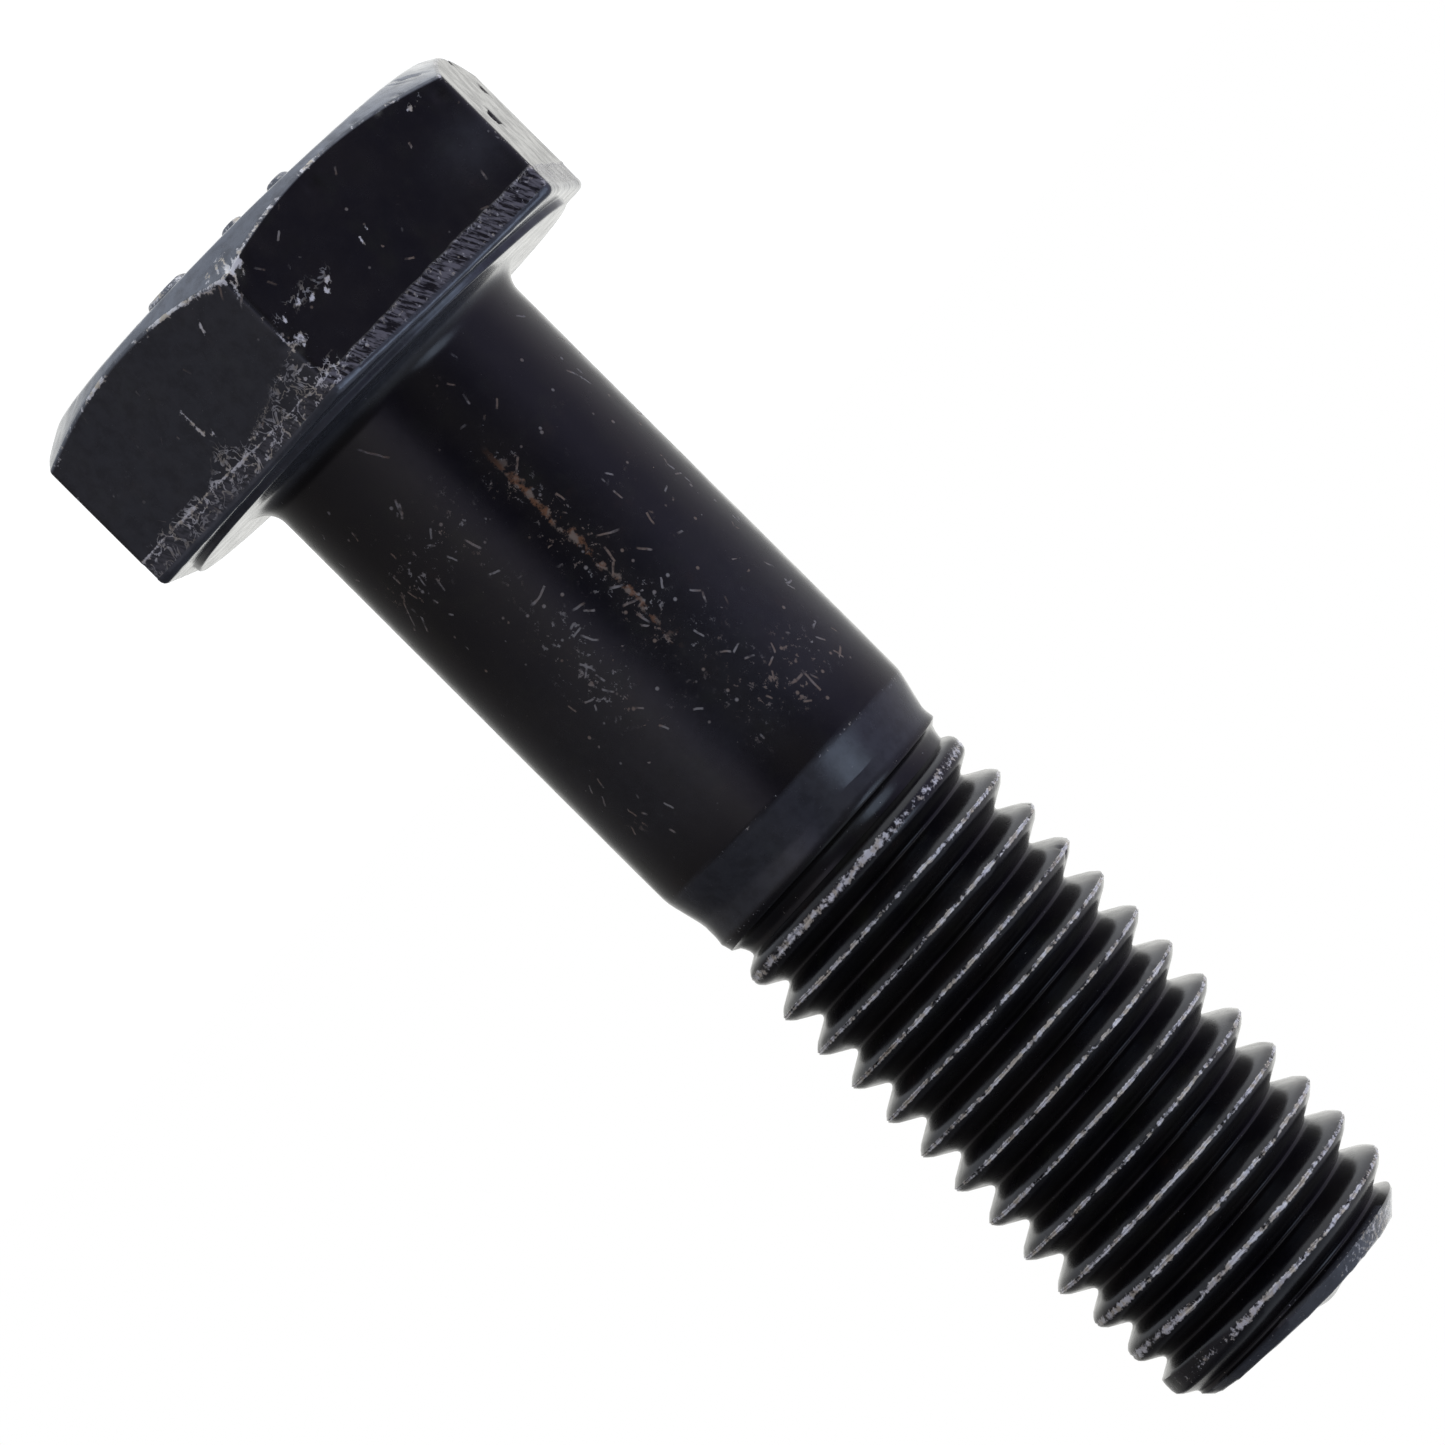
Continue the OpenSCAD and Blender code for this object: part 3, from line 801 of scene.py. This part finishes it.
def black_steel():
    """Black oxide on steel, with the wear and the painted highlights that the mesh's masks place."""
    mat = bpy.data.materials.new("black_steel")
    mat.use_nodes = True
    g = Nodes(mat.node_tree)
    out = g.node("ShaderNodeOutputMaterial")
    shader = g.node("ShaderNodeBsdfPrincipled")
    shader.inputs["IOR"].default_value = 1.5
    g.put(shader.outputs[0], out.inputs[0])
    at = g.scaled(g.node("ShaderNodeTexCoord").outputs["Object"], 1000.0)  # millimetres
    height = g.node("ShaderNodeSeparateXYZ", {0: at}).outputs[2]

    grain = g.noise(at, 2.6, 5, 0.65)
    base = black_oxide(g, at, grain)
    marks = all_marks(g, at)
    mark_tone = g.mix(g.range(g.noise(at, 0.7, 2), 0.40, 0.60), (0.30, 0.29, 0.285, 1), (0.23, 0.17, 0.13, 1))
    base = g.mix(g.math("MULTIPLY", marks, 0.90), base, mark_tone)

    # brown bloom: the streak on the shank, and faint spots everywhere
    bloom = rust_streak(g, at, height)
    bloom_tone = g.mix(
        g.range(g.noise(at, 2.2, 2), 0.42, 0.60), (0.20, 0.092, 0.040, 1), (0.24, 0.19, 0.15, 1))
    base = g.mix(g.math("MULTIPLY", bloom, 0.95), base, bloom_tone)
    faint = g.range(g.noise(at, 0.52, 5, 0.7), 0.60, 0.74)
    base = g.mix(g.math("MULTIPLY", faint, 0.40), base, (0.022, 0.012, 0.010, 1))

    # thin oxide on machined faces: greyer and more metallic
    mottle = g.range(g.noise(at, 1.3, 5, 0.65), 0.30, 0.62, 0.62, 1.0)
    thin = g.math("MULTIPLY", g.attribute("bare"), mottle)
    base = g.mix(thin, base, (0.250, 0.268, 0.305, 1))

    # sheared band round the lower edge of the head: fine slanted streaks
    strip = g.attribute("band")
    slant = g.math("MULTIPLY_ADD", height, 0.55, g.attribute("arc"))
    streak_at = g.node("ShaderNodeCombineXYZ", {
        0: g.math("MULTIPLY", slant, 5.2), 1: g.math("MULTIPLY", height, 1.3), 2: 0.0}).outputs[0]
    shear = g.noise(streak_at, 1.0, 3, 0.6)
    light = g.math("MULTIPLY", strip, g.range(shear, 0.42, 0.60))
    base = g.mix(g.math("MULTIPLY", light, 0.85), base, (0.205, 0.198, 0.222, 1))
    sparks = g.math("MULTIPLY", strip, g.range(g.noise(at, 2.9, 3, 0.6), 0.60, 0.70))

    # metal worn bright, where it rubs and where it is torn, and the painted highlights that the wear mask
    # also carries
    bite = g.math("MULTIPLY", g.math("SUBTRACT", g.noise(at, 4.2, 4, 0.7), 0.5), 1.9)
    worn_and_highlit = g.range(g.math("ADD", g.attribute("wear"), bite), 0.36, 0.70)
    worn_and_highlit = g.math("MAXIMUM", worn_and_highlit, g.math("MULTIPLY", torn_lines(g, at, sparks), 0.75))
    worn_and_highlight_tone = g.mix(g.range(g.noise(at, 1.9, 3), 0.42, 0.62), (0.86, 0.86, 0.88, 1), (0.66, 0.60, 0.50, 1))
    base = g.mix(worn_and_highlit, base, worn_and_highlight_tone)

    # pits are dark
    pit = g.attribute("pit")
    base = g.mix(pit, base, (0.006, 0.005, 0.004, 1))
    g.put(base, shader.inputs["Base Color"])

    metal = g.math("MAXIMUM", g.math("MULTIPLY", thin, 0.95), g.math("MULTIPLY", worn_and_highlit, 0.20))
    g.put(g.math("MULTIPLY", metal, g.math("SUBTRACT", 1.0, pit)), shader.inputs["Metallic"])

    rough = g.range(g.noise(at, 0.9, 4, 0.6), 0.30, 0.70, 0.20, 0.28)
    rough = g.math("ADD", rough, g.math("MULTIPLY", g.math("ADD", bloom, marks), 0.20))
    rough = g.math("ADD", rough, g.math("MULTIPLY", worn_and_highlit, 0.10), clamp=True)
    g.put(rough, shader.inputs["Roughness"])

    # relief: fine forging grain and streaks, with scratches, worn spots and painted highlights cut in
    forged = g.math("MULTIPLY", g.noise(at, 7.5, 3, 0.5), 0.06)
    relief = g.math("ADD", forged, g.math("MULTIPLY", grain, 0.45))
    relief = g.math("SUBTRACT", relief, g.math("MULTIPLY", marks, 0.60))
    relief = g.math("SUBTRACT", relief, g.math("MULTIPLY", worn_and_highlit, 0.40))
    relief = g.math("ADD", relief, g.math("MULTIPLY", strip, g.math("MULTIPLY", shear, 4.0)))
    bumps = g.node("ShaderNodeBump", {"Strength": 1.0, "Distance": 0.00001, "Height": relief})
    g.put(bumps.outputs[0], shader.inputs["Normal"])
    return mat


bolt.data.materials.append(black_steel())
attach(bolt, "root")
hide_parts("bolt")

# ---------------------------------------------------------------- camera
DISTANCE = 0.382
LENS = 199.7
TILT = math.radians(44.9)  # turn of the picture about the line of sight
foot = Vector((0, 0, 0.02095))
target = Vector((0, 0, 0.02265)) - Vector(SIDE) * 0.00012
place = foot + Vector(CAM) * DISTANCE
back = (place - target).normalized()
about_up = -math.sin(TILT) * Vector((0, 0, 1)) - math.cos(TILT) * Vector(SIDE)
right = about_up.cross(back).normalized()
up = back.cross(right).normalized()
cam = bpy.data.objects.new("camera", bpy.data.cameras.new("camera"))
bpy.context.scene.collection.objects.link(cam)
cam.matrix_world = Matrix((
    (right.x, up.x, back.x, place.x),
    (right.y, up.y, back.y, place.y),
    (right.z, up.z, back.z, place.z),
    (0, 0, 0, 1)))
cam.data.lens = LENS
cam.data.sensor_width = 36
cam.data.clip_start, cam.data.clip_end = 0.01, 10
bpy.context.scene.camera = cam

# ---------------------------------------------------------------- floor: pale, and it casts no shadow
FLOOR_HALF = 1.6
low_corner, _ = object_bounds()
floor_z = min(low_corner.z, -(HEAD_H + BAR_H) * MM) - 0.00002
floor_mesh = bpy.data.meshes.new("floor")
floor_mesh.from_pydata(
    [(x * FLOOR_HALF, y * FLOOR_HALF, floor_z) for x, y in ((-1, -1), (1, -1), (1, 1), (-1, 1))],
    [], [(0, 1, 2, 3)])
floor = bpy.data.objects.new("floor", floor_mesh)
bpy.context.scene.collection.objects.link(floor)
pale = bpy.data.materials.new("floor")
pale.use_nodes = True
g = Nodes(pale.node_tree)
out = g.node("ShaderNodeOutputMaterial")
diffuse = g.node("ShaderNodeBsdfDiffuse", {"Color": (0.5, 0.5, 0.5, 1)})
glow = g.node("ShaderNodeEmission", {"Color": (1, 1, 1, 1), "Strength": 0.97})
both = g.node("ShaderNodeAddShader", {0: diffuse.outputs[0], 1: glow.outputs[0]})
g.put(both.outputs[0], out.inputs[0])
floor_mesh.materials.append(pale)
floor.visible_diffuse = floor.visible_glossy = floor.visible_transmission = floor.visible_shadow = False

# ---------------------------------------------------------------- light: a bright tent with a dark front
# tone round the horizon: turn from the camera's direction towards SIDE, brightness, share of blue
STOPS = (
    (-180, 1.5, 1),
    (-168, 1.45, 1),
    (-158, 0.80, 1.03),
    (-148, 0.55, 1.05),
    (-112, 0.42, 1.2),
    (-90, 0.31, 1.4),
    (-74, 0.33, 1.45),
    (-46, 0.13, 1.5),
    (-34, 0.12, 1.3),
    (-22, 0.16, 1.1),
    (-4, 0.06, 1.5),
    (6, 0.09, 1.6),
    (17, 0.40, 1.3),
    (32, 0.46, 1.1),
    (46, 0.32, 1.1),
    (75, 0.20, 1.1),
    (104, 0.14, 1),
    (128, 0.15, 1),
    (146, 0.22, 1),
    (158, 0.45, 1),
    (168, 0.95, 1),
    (180, 1.5, 1),
)
LAMP_TURN, LAMP_UP = math.radians(-50), math.radians(33)
scene = bpy.context.scene
world = bpy.data.worlds.new("studio")
scene.world = world
world.use_nodes = True
g = Nodes(world.node_tree)
out = g.node("ShaderNodeOutputWorld")
ray = g.node("ShaderNodeTexCoord").outputs["Generated"]
to_cam = g.dot(ray, tuple(CAM))
to_side = g.dot(ray, tuple(SIDE))
ramp_at = g.math("MULTIPLY_ADD", g.math("ARCTAN2", to_side, to_cam), 1 / (2 * math.pi), 0.5)
ramp = g.node("ShaderNodeValToRGB", {0: ramp_at})
elements = ramp.color_ramp.elements
for n, (psi, value, blue) in enumerate(STOPS):
    if n == 0:
        element = elements[0]
    elif n == len(STOPS) - 1:
        element = elements[-1]
    else:
        element = elements.new((psi + 180) / 360)
    element.color = (value, value * (0.94 if abs(psi) < 140 else 1.0), value * blue * 0.97, 1)
height = g.node("ShaderNodeSeparateXYZ", {0: ray}).outputs[2]
above = g.range(height, 0.55, 0.9)
below = g.range(height, -0.30, -0.62)
tone = g.mix(above, ramp.outputs[0], (0.34, 0.37, 0.43, 1))
low_tone = g.mix(g.range(to_side, -0.05, -0.36), (0.52, 0.55, 0.61, 1), (1.05, 1.08, 1.15, 1))
tone = g.mix(below, tone, low_tone)
# less light from the direction of SIDE, above the level
dim = g.math("MULTIPLY", g.range(height, 0.10, 0.30), g.range(to_side, 0.08, 0.25))
tone = g.mix(g.math("MULTIPLY", dim, 0.8), tone, (0.03, 0.03, 0.035, 1))
# one soft lamp, above the camera and to its other side
level = math.cos(LAMP_TURN) * CAM + math.sin(LAMP_TURN) * SIDE
lamp = math.cos(LAMP_UP) * level + np.array([0, 0, math.sin(LAMP_UP)])
tone = g.mix(g.range(g.dot(ray, tuple(lamp)), 0.945, 0.985), tone, (1.35, 1.60, 2.05, 1))
# the camera sees a white background
seen = g.node("ShaderNodeLightPath").outputs["Is Camera Ray"]
tone = g.mix(seen, tone, (1, 1, 1, 1))
backdrop = g.node("ShaderNodeBackground", {"Color": tone, "Strength": 1.0})
g.put(backdrop.outputs[0], out.inputs[0])
scene.view_settings.view_transform = "Standard"
